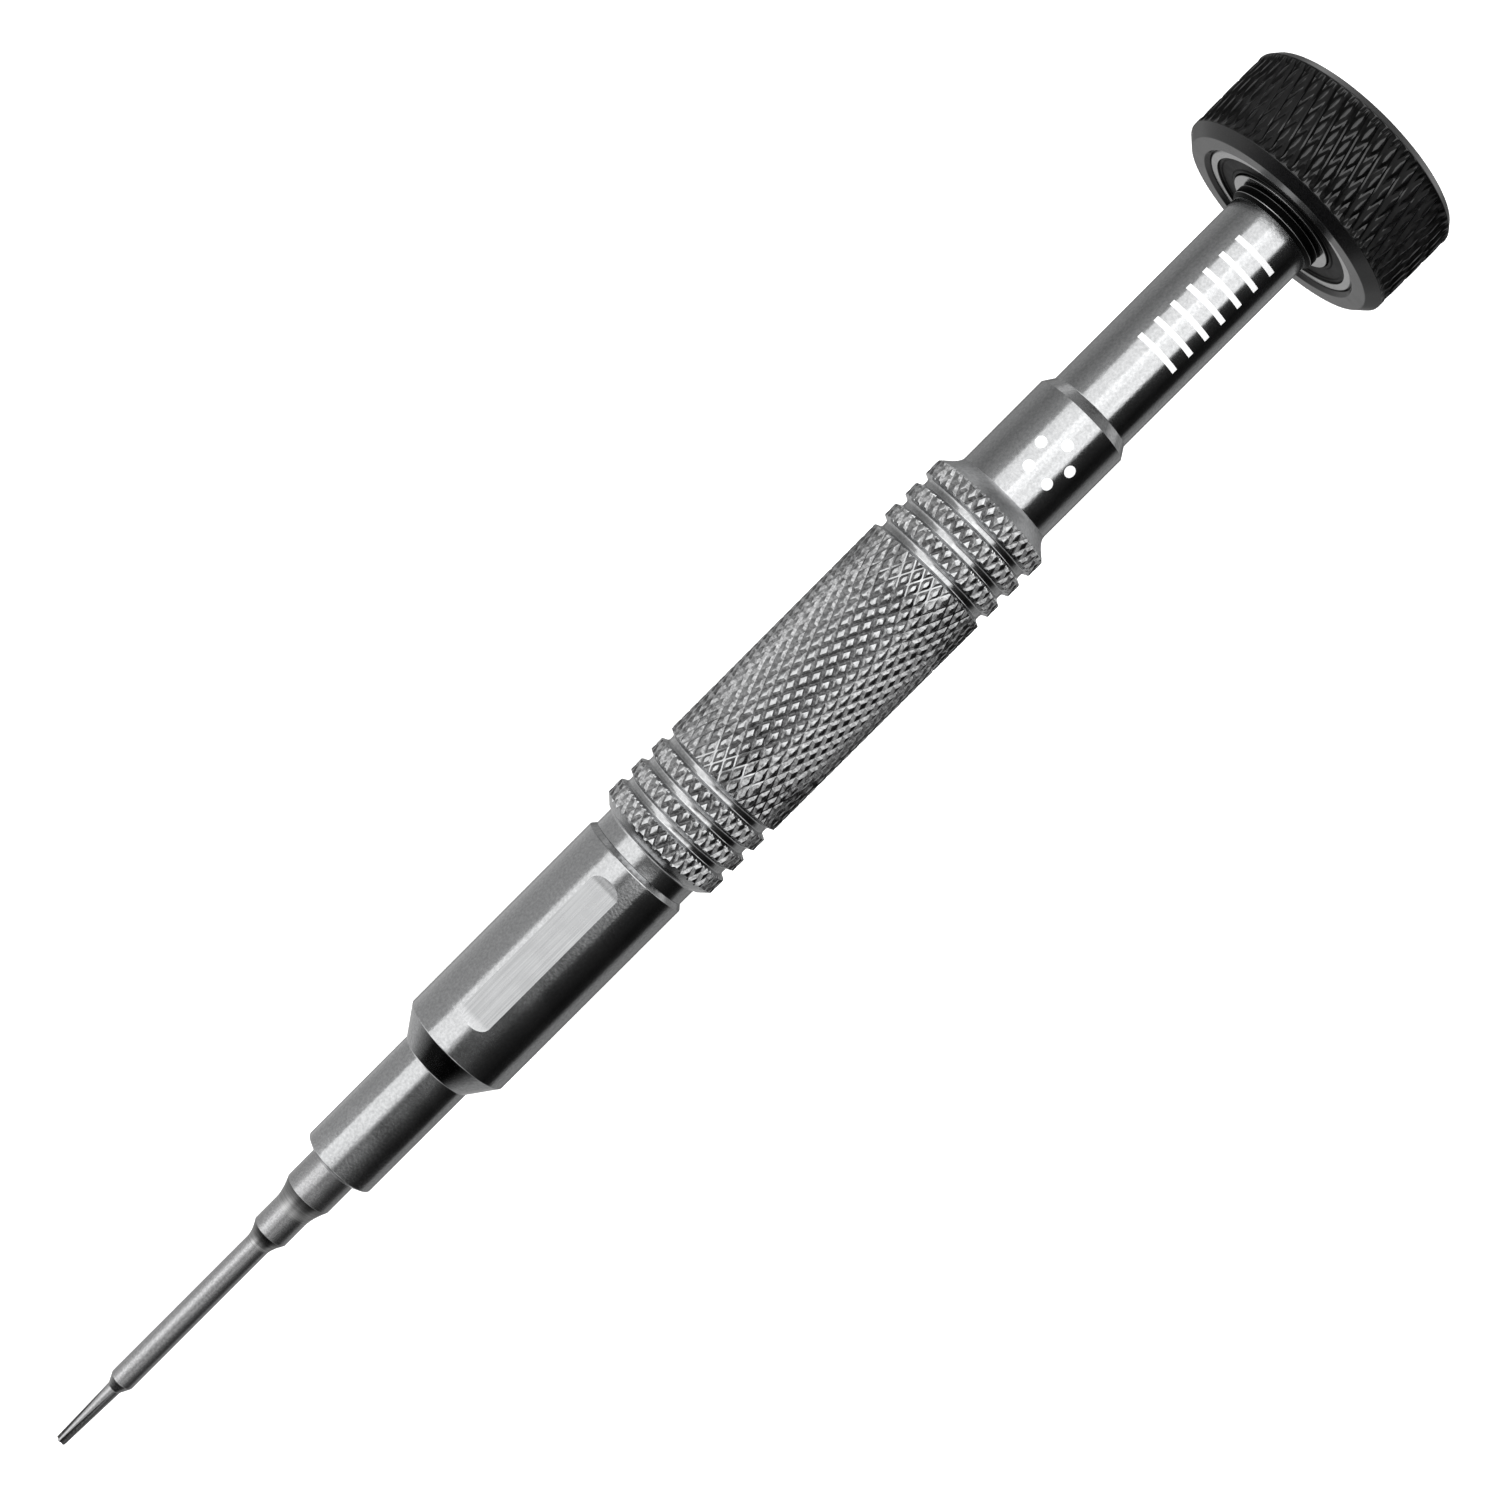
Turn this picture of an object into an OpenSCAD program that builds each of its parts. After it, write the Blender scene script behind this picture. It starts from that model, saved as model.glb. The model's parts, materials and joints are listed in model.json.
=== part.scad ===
// Precision screwdriver: fixed star blade, knurled handle, finger cap on a ball bearing.
// The axis is vertical. The origin is the end of the tip and +Z runs towards the cap.

/* [Blade] */
// Diameter across the star at the end of the tip
tip_end_d = 0.82; // [0.7:0.01:0.9]
// Diameter at the root of the tip
tip_root_d = 1.1; // [1:0.01:1.3]
// Length of the tapered tip
tip_len = 5.4; // [4:0.05:7]
// Number of flutes that make the star
flute_count = 5; // [4:1:6]
// Length over which the flutes run out
flute_len = 2.7; // [2:0.1:3.5]
// Diameter of the thin shank behind the tip
thin_d = 1.86; // [1.6:0.02:2.1]
// Distance from the tip's end to the end of the thin shank
thin_end = 19.75; // [16:0.05:20]
// Diameter of the middle shank
mid_d = 2.84; // [2.5:0.02:3.1]
// Length of the middle shank
mid_len = 2.1; // [1:0.1:2.2]
// Diameter of the thick shank that sits in the nose
shank_d = 3.8; // [3.4:0.05:4]
// Length of blade that stands out of the nose
blade_out = 27.65; // [27:0.05:29]
// Length of blade held inside the barrel
blade_in = 16.2; // [10:0.05:17]

/* [Barrel] */
// Diameter of the nose
nose_d = 5.76; // [5.4:0.02:6.4]
// Length of the nose
nose_len = 9.95; // [8:0.05:12]
// Length of the cone between nose and barrel
cone_len = 2.05; // [1:0.05:4]
// Diameter of the barrel
barrel_d = 8.6; // [8.2:0.05:9]
// Length of the barrel, with its top chamfer
barrel_len = 17.8; // [16:0.1:20]
// Length of the milled flat
flat_len = 13.6; // [8:0.1:14]
// Width of the milled flat
flat_w = 2.4; // [1.6:0.1:3]
// Diameter of the cutter that milled the flat
flat_tool_d = 4; // [3:0.5:6]

/* [Grip] */
// Diameter over the knurled bands
grip_d = 9.9; // [9.6:0.05:10.4]
// Diameter of the grooves between the bands
groove_d = 9; // [8.6:0.05:9.2]
// Diameter of the plain relief below the bands
relief_d = 8; // [7.6:0.05:8.1]
// Length of the plain relief, with the slope up to the bands
relief_len = 2.05; // [1.5:0.05:3]
// Length of the wide middle band
main_len = 19.6; // [15:0.1:24]
// Number of narrow bands at each end
ring_count = 3; // [1:1:4]
// Length of a narrow band
ring_len = 1.02; // [0.8:0.02:1.2]
// Length of the outermost narrow band
end_ring_len = 1.2; // [0.8:0.05:1.6]
// Width of the groove between two bands
groove_len = 0.95; // [0.8:0.05:1.2]
// Diameter of the collar above the bands
collar_d = 7.6; // [7.2:0.05:8]
// Length of the collar, with the slope down from the bands
collar_len = 8.65; // [7:0.05:10]
// Length of the chamfer that ends the collar
collar_chamfer = 0.8; // [0.6:0.05:1]

/* [Stem] */
// Diameter of the stem below the cap
stem_d = 6.56; // [6.4:0.02:6.8]
// Visible length of the stem
stem_len = 17; // [14:0.1:20]
// Length of the stem's foot inside the grip
stem_foot_len = 12.8; // [8:0.1:14]

/* [Bearing] */
// Outer diameter of the ball bearing
bearing_od = 13; // [12.9:0.05:13.1]
// Bore of the ball bearing
bearing_bore = 6; // [5.9:0.05:6.1]
// Width of the ball bearing
bearing_w = 5; // [4.8:0.1:5.2]
// Diameter of one ball
ball_d = 1.984; // [1.96:0.004:1.992]
// Number of balls
ball_count = 8; // [6:1:8]

/* [Cap] */
// Diameter over the cap's knurled band
cap_d = 17.42; // [17:0.02:18]
// Overall height of the cap
cap_h = 7.4; // [7.4:0.05:9]
// Width of the flat face round the bearing's mouth, at the underside
cap_face_w = 1.45; // [1:0.05:1.6]
// Height of the lower chamfer
cap_chamfer_h = 0.7; // [0.5:0.05:1.2]
// Depth of the dish in the top
dish_depth = 0.3; // [0.1:0.05:0.35]

/* [Hidden] */
$fn = 96;

// Gap between fixed pieces that fit into each other
fit_gap = 0.02;
// How far a cutter passes the face that it cuts
past = 0.5;
// Straight steps in a quarter of a curve
quarter_steps = 8;

// Stations of the blade, from the tip's end
shoulder_z = tip_len + 0.78;
mid_z = thin_end + 1.3;
mid_end = mid_z + mid_len;
shank_z = mid_end + 1.7;
blade_foot_z = blade_out + blade_in;
foot_edge = 0.3;

// Each flute is a round groove that leans out until it leaves the steel
flute_r = 0.2;
flute_depth = 0.15;
flute_start_r = tip_end_d / 2 - flute_depth + flute_r;
flute_rise = flute_depth + (tip_root_d - tip_end_d) / 2 * flute_len / tip_len;
flute_lean = atan(flute_rise / flute_len);
first_flute = -75;

// Barrel
nose_z = blade_out;
nose_end = nose_z + nose_len;
nose_chamfer = 0.35;
nose_face_r = nose_d / 2 - 0.6;
barrel_z = nose_end + cone_len;
barrel_end = barrel_z + barrel_len;
barrel_chamfer = 0.4;

// Milled flat: its depth follows from its width, and it is turned a little off the front.
// The round cutter leaves a curved run-out at each end.
flat_mid_z = barrel_z + barrel_len / 2 + 0.3;
flat_face_r = sqrt(pow(barrel_d / 2, 2) - pow(flat_w / 2, 2));
flat_depth = barrel_d / 2 - flat_face_r;
flat_tool_r = flat_tool_d / 2;
flat_run_out = sqrt(pow(flat_tool_r, 2) - pow(flat_tool_r - flat_depth, 2));
flat_floor_len = flat_len - 2 * flat_run_out;
flat_turn = -5.5;

// Grip
low_rings_z = barrel_end + relief_len;
ring_pitch = ring_len + groove_len;
rings_len = end_ring_len + (ring_count - 1) * ring_pitch;
main_z = low_rings_z + rings_len + groove_len;
main_end = main_z + main_len;
collar_z = main_end + groove_len + rings_len;
collar_end = collar_z + collar_len;
stem_z = collar_end + collar_chamfer;
stem_end = stem_z + stem_len;
band_side = 0.22;

// Slopes that end the row of bands: a short one to the relief, a longer one to the collar
low_slope = 0.62;
low_slope_r = 4.3;
low_fillet = 0.3;
high_slope = 1;
high_fillet = 0.4;

// Threaded core of the handle
core_r = 2.5;
core_hole_r = core_r + fit_gap;
core_edge = 0.4;
set_screw_len = 4;
set_screw_edge = 0.3;
blade_screw_r = 2;
blade_screw_z = blade_foot_z + fit_gap;
blade_screw_room_end = blade_foot_z + set_screw_len + 1.4;
stud_z = blade_screw_room_end + 0.8;
stud_end = barrel_end + 8.6;
slot_w = 0.8;
slot_depth = 1;
stem_foot_z = stem_z - stem_foot_len;
stem_screw_z = stem_foot_z - set_screw_len - fit_gap;

// Hex sockets
hex_flats = 2;
hex_r = hex_flats / 2 / cos(30);
hex_depth = 1.4;

// Bearing
spacer_h = 0.96;
spacer_r = 3.55;
bearing_z = stem_end + spacer_h;
bearing_top = bearing_z + bearing_w;
bearing_mid = bearing_z + bearing_w / 2;
pitch_r = (bearing_od + bearing_bore) / 4;
race_r = ball_d / 2 + 0.038;
inner_land_r = 4.22;
outer_land_r = 5.28;
ring_chamfer = 0.15;
bore_chamfer = 0.15;

// Shields
shield_seat_r = 5.8;
shield_bore_r = 4.3;
shield_t = 0.25;
shield_sink = 0.15;
shield_seat_depth = shield_sink + shield_t;

// Ball cage: two thin halves with a round pocket for each ball, held by rivets
cage_in_r = 4.34;
cage_out_r = 5.14;
cage_t = 0.18;
pocket_r = ball_d / 2 + 0.05;
rivet_r = 0.2;
rivet_hole_r = 0.21;
rivet_head_r = 0.34;
rivet_head_h = 0.12;

// Top of the stem and the screw that holds the bearing on it
spigot_r = bearing_bore / 2 - fit_gap;
spigot_end = bearing_top - 0.15;
washer_t = 0.5;
washer_r = 3.95;
axle_screw_r = 1.5;
axle_screw_len = 8;
screw_head_r = 2.75;
screw_top = bearing_top + washer_t;
screw_cone_h = screw_head_r - axle_screw_r;
screw_hole_z = screw_top - axle_screw_len - 1.2;

// Cap
cap_z = bearing_z - 0.24;
cap_top = cap_z + cap_h;
cap_r = cap_d / 2;
cap_face_r = bearing_od / 2 + cap_face_w;
cap_bore_r = bearing_od / 2 + fit_gap;
cap_mouth_chamfer = 0.25;
cap_pocket_r = 5.6;
cap_pocket_end = screw_top + 0.6;
cap_edge_h = 0.5;
cap_edge_w = 0.4;
dish_r = cap_r - 1.1;
dish_slope = 0.5;

// Concave sweep from [r0, z0] to the wider [r1, z1], tangent to the axis at its narrow end
function flare(r0, z0, r1, z1) = [
    for (i = [0 : quarter_steps])
        let (a = 90 * i / quarter_steps)
            [r0 + (r1 - r0) * (1 - cos(a)), z0 + (z1 - z0) * sin(a)]
];

// Rise from [r0, z0] to the wider [r1, z1], with a hollow foot and a clear corner at its end
function swell(r0, z0, r1, z1) = [
    for (i = [0 : quarter_steps])
        let (t = i / quarter_steps)
            [r0 + (r1 - r0) * pow(t, 1.6), z0 + (z1 - z0) * t]
];

// Curve from start to end whose ends point at the corner
function bend(start, corner, end) = [
    for (i = [0 : quarter_steps])
        let (t = i / quarter_steps)
            pow(1 - t, 2) * start + 2 * t * (1 - t) * corner + t * t * end
];

// The grooves that part the bands, from z upwards: one for each narrow band
function grooves(z) = [
    for (i = [0 : ring_count - 1])
        let (start = z + i * ring_pitch)
            each [
                [grip_d / 2, start],
                [groove_d / 2, start + band_side],
                [groove_d / 2, start + groove_len - band_side],
                [grip_d / 2, start + groove_len],
            ],
];

// Solid of revolution: the outline runs up the outside, and closes on the axis
module turned(outline) {
    rotate_extrude()
        polygon([[0, outline[0][1]], each outline, [0, outline[len(outline) - 1][1]]]);
}

// Flat ring with chamfered outer corners
module ring(z, h, r_in, r_out, chamfer) {
    rotate_extrude()
        polygon([
            [r_in, z],
            [r_out - chamfer, z],
            [r_out, z + chamfer],
            [r_out, z + h - chamfer],
            [r_out - chamfer, z + h],
            [r_in, z + h],
        ]);
}

// Straight rod with chamfered ends
module rod(z, h, r, edge) {
    turned([
        [r - edge, z],
        [r, z + edge],
        [r, z + h - edge],
        [r - edge, z + h],
    ]);
}

// Countersunk shape: screw head over screw shank, widened by a gap
module countersink(gap) {
    translate([0, 0, screw_top - screw_cone_h])
        cylinder(r1 = axle_screw_r + gap, r2 = screw_head_r + gap, h = screw_cone_h);
}

module hex_socket(z_top) {
    translate([0, 0, z_top - hex_depth])
        cylinder(r = hex_r, h = hex_depth + past, $fn = 6);
}

// Puts its children at each ball's centre
module at_balls() {
    for (i = [0 : ball_count - 1])
        rotate([0, 0, i * 360 / ball_count])
            translate([pitch_r, 0, bearing_mid])
                children();
}

// Puts its children midway between the balls
module at_rivets() {
    rotate([0, 0, 180 / ball_count])
        at_balls()
            children();
}

module flute() {
    translate([flute_start_r, 0, 0])
        rotate([0, flute_lean, 0])
            translate([0, 0, -past])
                cylinder(r = flute_r, h = flute_len + 3 * past);
}

module blade() {
    color([0.56, 0.56, 0.55])
        difference() {
            turned([
                [tip_end_d / 2, 0],
                [tip_root_d / 2, tip_len],
                [thin_d / 2, shoulder_z],
                each swell(thin_d / 2, thin_end, mid_d / 2, mid_z),
                each swell(mid_d / 2, mid_end, shank_d / 2, shank_z),
                [shank_d / 2, blade_foot_z - foot_edge],
                [shank_d / 2 - foot_edge, blade_foot_z],
            ]);
            for (i = [0 : flute_count - 1])
                rotate([0, 0, first_flute + i * 360 / flute_count])
                    flute();
        }
}

// Headless screw with a hex socket in its upper end
module set_screw(z, r) {
    difference() {
        rod(z, set_screw_len, r, set_screw_edge);
        hex_socket(z + set_screw_len);
    }
}

module blade_set_screw() {
    color([0.2, 0.2, 0.22])
        set_screw(blade_screw_z, blade_screw_r);
}

// Path of the cutter that mills the flat: a straight stretch between two round ends
module flat_cutter() {
    rotate([0, 0, flat_turn])
        translate([-flat_w, -flat_face_r - flat_tool_r, flat_mid_z])
            rotate([90, 0, 90])
                linear_extrude(height = 2 * flat_w)
                    union() {
                        square([2 * flat_tool_r, flat_floor_len], center = true);
                        for (end = [-1, 1])
                            translate([0, end * flat_floor_len / 2])
                                circle(r = flat_tool_r);
                    }
}

module barrel() {
    color([0.46, 0.46, 0.47])
        difference() {
            turned([
                [nose_face_r, nose_z],
                [nose_d / 2, nose_z + nose_chamfer],
                [nose_d / 2, nose_end],
                [barrel_d / 2, barrel_z],
                [barrel_d / 2, barrel_end - barrel_chamfer],
                [relief_d / 2, barrel_end],
            ]);
            translate([0, 0, nose_z - past])
                cylinder(r = shank_d / 2 + fit_gap, h = blade_in + 2 * past);
            translate([0, 0, blade_foot_z])
                cylinder(r = blade_screw_r + fit_gap, h = blade_screw_room_end - blade_foot_z + past);
            translate([0, 0, blade_screw_room_end])
                cylinder(r = core_hole_r, h = barrel_end - blade_screw_room_end + past);
            flat_cutter();
        }
}

// Stud with a screwdriver slot in its upper end
module joining_stud() {
    color([0.35, 0.35, 0.36])
        difference() {
            rod(stud_z, stud_end - stud_z, core_r, core_edge);
            translate([-core_r - past, -slot_w / 2, stud_end - slot_depth])
                cube([2 * (core_r + past), slot_w, slot_depth + past]);
        }
}

module grip() {
    color([0.5, 0.5, 0.51])
        difference() {
            turned([
                [relief_d / 2, barrel_end],
                each flare(
                    relief_d / 2, low_rings_z - low_slope - low_fillet, low_slope_r, low_rings_z - low_slope
                ),
                [grip_d / 2, low_rings_z],
                each grooves(low_rings_z + end_ring_len),
                each grooves(main_end),
                [grip_d / 2, collar_z],
                each bend(
                    [(grip_d + collar_d) / 4, collar_z + high_slope / 2],
                    [collar_d / 2, collar_z + high_slope],
                    [collar_d / 2, collar_z + high_slope + high_fillet]
                ),
                [collar_d / 2, collar_end],
                [stem_d / 2, stem_z],
            ]);
            translate([0, 0, barrel_end - past])
                cylinder(r = core_hole_r, h = stem_z - barrel_end + 2 * past);
        }
}

module stem_set_screw() {
    color([0.2, 0.2, 0.22])
        set_screw(stem_screw_z, core_r);
}

module neck_stem() {
    color([0.47, 0.47, 0.48])
        difference() {
            turned([
                [core_r - core_edge, stem_foot_z],
                [core_r, stem_foot_z + core_edge],
                [core_r, stem_z],
                [stem_d / 2, stem_z],
                [stem_d / 2, stem_end],
                [spigot_r, stem_end],
                [spigot_r, spigot_end],
            ]);
            translate([0, 0, screw_hole_z])
                cylinder(r = axle_screw_r + fit_gap, h = spigot_end - screw_hole_z + past);
            countersink(fit_gap);
        }
}

module spacer_ring() {
    color([0.3, 0.3, 0.31])
        ring(stem_end, spacer_h, bearing_bore / 2, spacer_r, bore_chamfer);
}

module bearing_inner_ring() {
    color([0.78, 0.78, 0.77])
        rotate_extrude()
            difference() {
                polygon([
                    [bearing_bore / 2 + bore_chamfer, bearing_z],
                    [inner_land_r, bearing_z],
                    [inner_land_r, bearing_top],
                    [bearing_bore / 2 + bore_chamfer, bearing_top],
                    [bearing_bore / 2, bearing_top - bore_chamfer],
                    [bearing_bore / 2, bearing_z + bore_chamfer],
                ]);
                translate([pitch_r, bearing_mid])
                    circle(r = race_r);
            }
}

module bearing_outer_ring() {
    color([0.6, 0.6, 0.6])
        rotate_extrude()
            difference() {
                polygon([
                    [shield_seat_r, bearing_z],
                    [bearing_od / 2 - ring_chamfer, bearing_z],
                    [bearing_od / 2, bearing_z + ring_chamfer],
                    [bearing_od / 2, bearing_top - ring_chamfer],
                    [bearing_od / 2 - ring_chamfer, bearing_top],
                    [shield_seat_r, bearing_top],
                    [shield_seat_r, bearing_top - shield_seat_depth],
                    [outer_land_r, bearing_top - shield_seat_depth],
                    [outer_land_r, bearing_z + shield_seat_depth],
                    [shield_seat_r, bearing_z + shield_seat_depth],
                ]);
                translate([pitch_r, bearing_mid])
                    circle(r = race_r);
            }
}

module bearing_balls() {
    color([0.85, 0.85, 0.85])
        at_balls()
            sphere(d = ball_d);
}

// Lower half of the cage, below the middle plane of the bearing
module cage_half() {
    reach = pocket_r + cage_t;
    difference() {
        intersection() {
            union() {
                translate([0, 0, bearing_mid - cage_t])
                    cylinder(r = cage_out_r + past, h = cage_t);
                at_balls()
                    sphere(r = reach);
            }
            translate([0, 0, bearing_mid - reach - past])
                difference() {
                    cylinder(r = cage_out_r, h = reach + past);
                    translate([0, 0, -past])
                        cylinder(r = cage_in_r, h = reach + 3 * past);
                }
        }
        at_balls()
            sphere(r = pocket_r);
        at_rivets()
            cylinder(r = rivet_hole_r, h = 4 * cage_t, center = true);
    }
}

module bearing_cage_lower() {
    color([0.7, 0.66, 0.56])
        cage_half();
}

module bearing_cage_upper() {
    color([0.7, 0.66, 0.56])
        translate([0, 0, 2 * bearing_mid])
            mirror([0, 0, 1])
                cage_half();
}

module bearing_cage_rivets() {
    color([0.6, 0.6, 0.58])
        at_rivets()
            union() {
                cylinder(r = rivet_r, h = 2 * cage_t + 2 * rivet_head_h, center = true);
                for (side = [-1, 1])
                    translate([0, 0, side * (cage_t + rivet_head_h / 2)])
                        cylinder(r = rivet_head_r, h = rivet_head_h, center = true);
            }
}

module shield(z) {
    color([0.24, 0.24, 0.25])
        ring(z, shield_t, shield_bore_r, shield_seat_r - fit_gap, 0.05);
}

module bearing_shield_lower() {
    shield(bearing_z + shield_sink);
}

module bearing_shield_upper() {
    shield(bearing_top - shield_seat_depth);
}

module retaining_washer() {
    color([0.62, 0.62, 0.62])
        difference() {
            ring(bearing_top, washer_t, axle_screw_r, washer_r, bore_chamfer);
            countersink(fit_gap);
        }
}

module axle_screw() {
    tip_edge = 0.3;
    color([0.25, 0.25, 0.26])
        difference() {
            turned([
                [axle_screw_r - tip_edge, screw_top - axle_screw_len],
                [axle_screw_r, screw_top - axle_screw_len + tip_edge],
                [axle_screw_r, screw_top - screw_cone_h],
                [screw_head_r, screw_top],
            ]);
            hex_socket(screw_top);
        }
}

module swivel_cap() {
    color([0.06, 0.06, 0.065])
        difference() {
            turned([
                [cap_face_r, cap_z],
                [cap_r, cap_z + cap_chamfer_h],
                [cap_r, cap_top - cap_edge_h],
                [cap_r - cap_edge_w, cap_top],
                [dish_r, cap_top],
                [dish_r - dish_slope, cap_top - dish_depth],
            ]);
            translate([0, 0, cap_z - past])
                cylinder(r = cap_bore_r, h = bearing_top - cap_z + past);
            translate([0, 0, bearing_z])
                cylinder(r = cap_pocket_r, h = cap_pocket_end - bearing_z);
            translate([0, 0, cap_z])
                cylinder(r1 = cap_bore_r + cap_mouth_chamfer, r2 = cap_bore_r, h = cap_mouth_chamfer);
        }
}

blade();
blade_set_screw();
barrel();
joining_stud();
grip();
stem_set_screw();
neck_stem();
spacer_ring();
bearing_inner_ring();
bearing_outer_ring();
bearing_balls();
bearing_cage_lower();
bearing_cage_upper();
bearing_cage_rivets();
bearing_shield_lower();
bearing_shield_upper();
retaining_washer();
axle_screw();
swivel_cap();
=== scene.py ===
"""Looks of the precision screwdriver: fine meshes, materials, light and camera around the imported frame.

Sizes are in millimetres unless a name says otherwise, and become metres where a mesh is made.
The tool's axis is Z: the tip ends at height 0, and the cap is at the top. Angles run from +X towards +Y.
"""

import json
from math import atan2, cos, degrees, pi, radians, sin, sqrt

import bmesh
import bpy
import numpy as np
from mathutils import Matrix, Vector

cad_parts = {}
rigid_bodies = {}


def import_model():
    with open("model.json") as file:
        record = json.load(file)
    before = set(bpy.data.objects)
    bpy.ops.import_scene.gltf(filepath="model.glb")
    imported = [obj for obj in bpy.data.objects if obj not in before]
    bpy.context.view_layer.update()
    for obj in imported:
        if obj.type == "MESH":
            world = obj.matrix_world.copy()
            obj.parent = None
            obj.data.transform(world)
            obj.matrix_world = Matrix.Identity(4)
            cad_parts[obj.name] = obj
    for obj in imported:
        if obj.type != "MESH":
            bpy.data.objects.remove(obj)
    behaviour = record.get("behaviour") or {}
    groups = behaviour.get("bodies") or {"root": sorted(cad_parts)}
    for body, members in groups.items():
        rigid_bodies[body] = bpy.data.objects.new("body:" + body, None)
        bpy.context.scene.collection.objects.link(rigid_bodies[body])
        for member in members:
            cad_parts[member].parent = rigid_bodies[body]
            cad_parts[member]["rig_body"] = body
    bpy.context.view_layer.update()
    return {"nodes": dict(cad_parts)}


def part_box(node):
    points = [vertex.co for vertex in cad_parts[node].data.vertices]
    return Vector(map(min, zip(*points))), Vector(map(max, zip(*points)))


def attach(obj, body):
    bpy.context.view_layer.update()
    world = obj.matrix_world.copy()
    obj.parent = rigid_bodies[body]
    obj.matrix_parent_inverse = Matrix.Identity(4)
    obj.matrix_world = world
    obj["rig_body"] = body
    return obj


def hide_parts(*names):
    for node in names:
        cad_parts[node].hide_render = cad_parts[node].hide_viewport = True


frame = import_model()

MM = 0.001
FRONT = -90  # the side that faces the camera
STEPS = 10  # straight steps in a quarter of a curve
EDGE = 0.05  # how much of a turned corner is rounded
FIT = 0.02  # gap between pieces that fit into each other
EDGE_SHARE = 0.3  # the most of a side that one rounded corner takes
EDGE_GUARD = 1.5  # where the flat part of a side starts, in lengths of the rounded part
WELD = 0.00001  # points closer than this are one point
NO_LENGTH = 1e-9
SAME_HEIGHT = 1e-6
TWIST = 1e-7  # a face of a turned piece that is twisted by more than this is uneven


# ---- Places taken from the frame ----


def low(node):
    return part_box(node)[0].z / MM


def high(node):
    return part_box(node)[1].z / MM


def outer_r(node):
    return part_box(node)[1].x / MM


# ---- Outlines: points (radius, height) that run up the outside ----


def flare(r0, z0, r1, z1):
    """Concave sweep from (r0, z0) to the wider (r1, z1), tangent to the axis at its narrow end."""
    turns = np.linspace(0, pi / 2, STEPS + 1)
    return [(r0 + (r1 - r0) * (1 - cos(a)), z0 + (z1 - z0) * sin(a)) for a in turns]


def swell(r0, z0, r1, z1, power=1.6):
    """Rise from (r0, z0) to the wider (r1, z1) with a hollow foot and a clear corner at its end."""
    return [(r0 + (r1 - r0) * t**power, z0 + (z1 - z0) * t) for t in np.linspace(0, 1, 2 * STEPS)]


def bend(start, corner, end, count=6):
    """A curve from start to end whose ends point at the corner."""
    start, corner, end = np.array(start), np.array(corner), np.array(end)
    shares = np.linspace(0, 1, count)
    return [(1 - t) ** 2 * start + 2 * t * (1 - t) * corner + t * t * end for t in shares]


def soften(outline, edge=EDGE, least_turn=20):
    """The outline with each clear corner rounded, and a point before and after it that keeps faces flat."""
    points = []
    last = len(outline) - 1
    for i, point in enumerate(outline):
        here = np.array(point, float)
        before = np.array(outline[i - 1], float) - here
        after = np.array(outline[0 if i == last else i + 1], float) - here
        lengths = np.linalg.norm(before), np.linalg.norm(after)
        if min(lengths) < NO_LENGTH:
            points.append(here)
            continue
        before, after = before / lengths[0], after / lengths[1]
        turn = 180 - degrees(np.arccos(np.clip(before @ after, -1, 1)))
        on_axis = here[0] < NO_LENGTH
        if turn < least_turn or on_axis:
            points.append(here)
            continue
        cut = min(edge, EDGE_SHARE * lengths[0], EDGE_SHARE * lengths[1])
        start, end = here + before * cut, here + after * cut
        points.append(here + before * cut * EDGE_GUARD)
        points += bend(start, here, end)
        points.append(here + after * cut * EDGE_GUARD)
    return points


def split(outline, step, z0, z1):
    """The outline with its stretch from height z0 to z1 divided into steps of about this length."""
    points = [outline[0]]
    for (r0, za), (r1, zb) in zip(outline, outline[1:]):
        inside = min(za, zb) >= z0 - SAME_HEIGHT and max(za, zb) <= z1 + SAME_HEIGHT
        if inside and r0 > 0 and r1 > 0:
            count = max(1, round(abs(zb - za) / step))
            for k in range(1, count):
                t = k / count
                points.append((r0 + (r1 - r0) * t, za + (zb - za) * t))
        points.append((r1, zb))
    return points


# ---- Meshes ----


def finish_mesh(name, points, faces, sharp):
    """A smooth-shaded object from points in millimetres, with edges sharper than the angle kept crisp."""
    mesh = bpy.data.meshes.new(name)
    mesh.from_pydata((np.array(points) * MM).tolist(), [], faces)
    welded = bmesh.new()
    welded.from_mesh(mesh)
    bmesh.ops.remove_doubles(welded, verts=welded.verts, dist=WELD * MM)
    welded.to_mesh(mesh)
    welded.free()
    mesh.shade_smooth()
    mesh.set_sharp_from_angle(angle=radians(sharp))
    piece = bpy.data.objects.new(name, mesh)
    bpy.context.scene.collection.objects.link(piece)
    return piece


def even_angles(columns):
    """The same evenly spaced angles at every height."""
    angles = np.arange(columns) * 2 * pi / columns
    return lambda z: angles


def grooved_angles(centres, half_angle, inside, between):
    """Angles that crowd into each groove at its width at that height, so that mesh lines follow its edges.
    inside and between are the number of faces across a groove and from one groove to the next."""
    pitch = 2 * pi / len(centres)
    least = radians(1)

    def at(z):
        half = max(half_angle(z), least)
        inner = np.linspace(-half, half, inside + 1)
        outer = np.linspace(half, pitch - half, between + 1)[1:-1]
        one = np.concatenate((inner, outer))
        return np.concatenate([radians(c) + one for c in centres])

    return at


def ring_faces(low_ring, high_ring, uneven, along):
    """Faces between two rings of point numbers. An uneven face is split in two, along the diagonal that
    starts at its first low point if along says so, or else along the other."""
    low_next, high_next = np.roll(low_ring, -1), np.roll(high_ring, -1)
    corners = np.stack((low_ring, low_next, high_next, high_ring), -1).tolist()
    faces = []
    for (a, b, c, d), is_uneven, is_along in zip(corners, uneven, along):
        if not is_uneven:
            faces.append((a, b, c, d))
        elif is_along:
            faces += [(a, b, c), (a, c, d)]
        else:
            faces += [(a, b, d), (b, c, d)]
    return faces


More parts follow.
